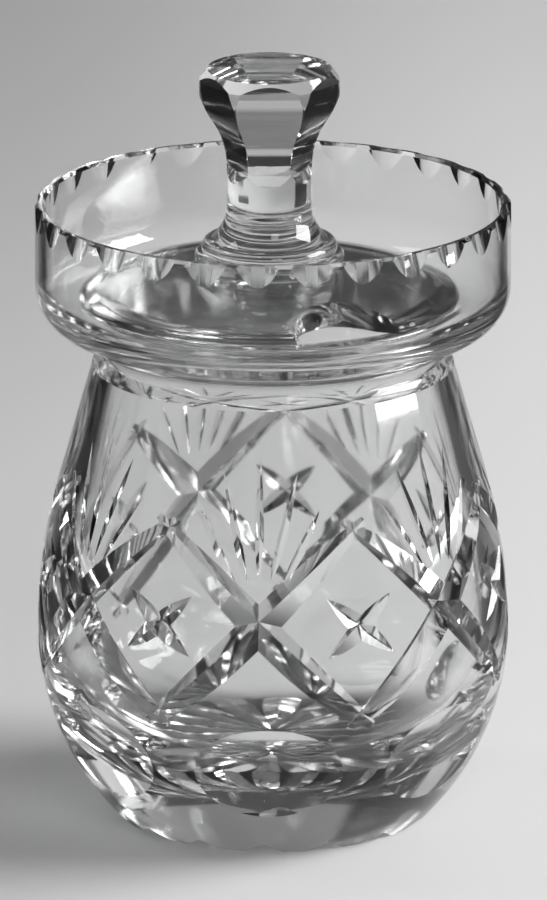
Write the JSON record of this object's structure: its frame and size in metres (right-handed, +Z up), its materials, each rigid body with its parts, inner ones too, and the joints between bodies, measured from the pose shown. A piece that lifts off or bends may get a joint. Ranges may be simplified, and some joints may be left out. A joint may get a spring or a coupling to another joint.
{
  "type": "honey pot",
  "caption": "Pear-shaped cut-glass honey pot with a wide gallery collar and a loose lift-off lid that has a waisted faceted knob and a spoon notch.",
  "frame": {"origin": "centre of the flat foot that the pot stands on", "axes": "+Z up along the pot's axis, -Y towards the front of the picture, +X to its right"},
  "size_m": [0.0788, 0.0788, 0.1273],
  "materials": {
    "crystal": "polished colourless cut crystal"
  },
  "bodies": {
    "jar": {"jar": "crystal"},
    "lid": {"lid_plate": "crystal", "merese": "crystal", "knob": "crystal"}
  },
  "joints": [
    {"name": "lid_lift", "type": "slide", "parent": "jar", "child": "lid", "axis": [0, 0, 1], "range_m": [0, 0.03]}
  ]
}
